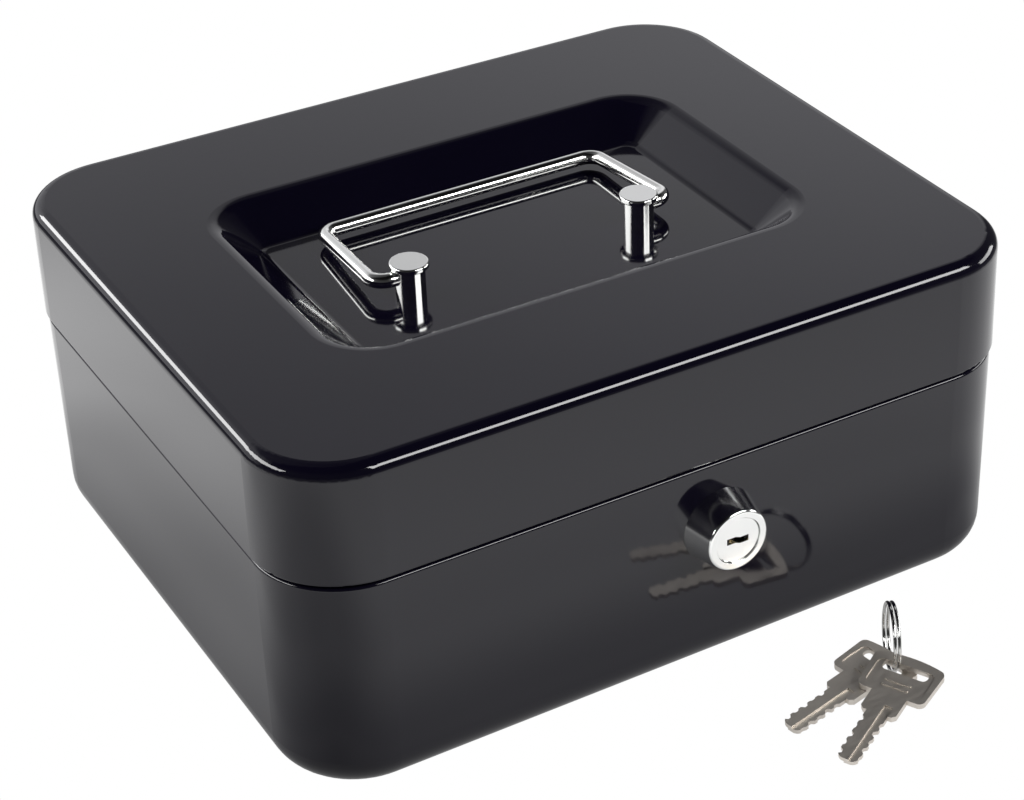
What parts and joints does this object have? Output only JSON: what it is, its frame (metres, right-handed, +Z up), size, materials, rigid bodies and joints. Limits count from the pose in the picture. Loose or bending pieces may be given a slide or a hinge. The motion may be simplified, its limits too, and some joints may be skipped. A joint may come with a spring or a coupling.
{
  "type": "cash box",
  "caption": "Small pressed steel cash box with hinged lid, folding wire handle sunk in the lid, cam lock, lift-out coin tray and keys on a ring.",
  "frame": {"origin": "centre of the flat base that the box rests on", "axes": "+X to the right seen from the front, +Y from the lock side to the hinge side, +Z up"},
  "size_m": [0.2, 0.2186, 0.09],
  "materials": {
    "black_enamel": "gloss",
    "chrome": "polished",
    "zinc_steel": "satin",
    "key_nickel": "satin",
    "brass": "satin",
    "tray_plastic": "matt"
  },
  "bodies": {
    "tub": {"body_tub": "black_enamel", "lock_housing": "chrome", "lock_nut": "zinc_steel", "lock_washer": "zinc_steel", "hinge_body_leaf_left": "black_enamel", "hinge_body_leaf_right": "black_enamel", "hinge_pin_left": "zinc_steel", "hinge_pin_right": "zinc_steel", "hinge_rivets_body": "black_enamel"},
    "lid": {"lid_shell": "black_enamel", "lid_striker": "zinc_steel", "hinge_lid_leaf_left": "black_enamel", "hinge_lid_leaf_right": "black_enamel", "hinge_rivets_lid": "black_enamel", "handle_post_left": "chrome", "handle_post_right": "chrome", "post_screws": "zinc_steel", "post_washers": "zinc_steel"},
    "bail": {"bail_handle": "chrome"},
    "rotor": {"lock_plug": "chrome", "lock_wafers": "brass", "wafer_springs": "zinc_steel", "lock_cam": "zinc_steel", "cam_screw": "zinc_steel"},
    "tray": {"coin_tray": "tray_plastic"},
    "key_lower": {"key_1": "key_nickel"},
    "ring": {"key_ring": "chrome"},
    "key_upper": {"key_2": "key_nickel"}
  },
  "joints": [
    {"name": "lid_hinge", "type": "hinge", "parent": "tub", "child": "lid", "pos_m": [0, 0.0842, 0.0591], "axis": [-1, 0, 0], "range_deg": [0, 105]},
    {"name": "bail_pivot", "type": "hinge", "parent": "lid", "child": "bail", "pos_m": [0, -0.0093, 0.0863], "axis": [1, 0, 0], "range_deg": [0, 168]},
    {"name": "lock_turn", "type": "hinge", "parent": "tub", "child": "rotor", "pos_m": [0.009, -0.075, 0.041], "axis": [0, 1, 0], "range_deg": [0, 90]},
    {"name": "tray_lift", "type": "slide", "parent": "tub", "child": "tray", "axis": [0, 0, 1], "range_m": [0, 0.005]},
    {"name": "keys_lift", "type": "slide", "parent": "tub", "child": "key_lower", "axis": [0, 0, 1], "range_m": [0, 0.05]},
    {"name": "ring_turn", "type": "hinge", "parent": "key_lower", "child": "ring", "pos_m": [0.0432, -0.1068, 0.00895], "axis": [-0.891, 0.454, 0], "range_deg": [0, 20]},
    {"name": "key_upper_turn", "type": "hinge", "parent": "ring", "child": "key_upper", "pos_m": [0.0432, -0.1068, 0.00895], "axis": [-0.891, 0.454, 0], "range_deg": [0, 25]}
  ]
}
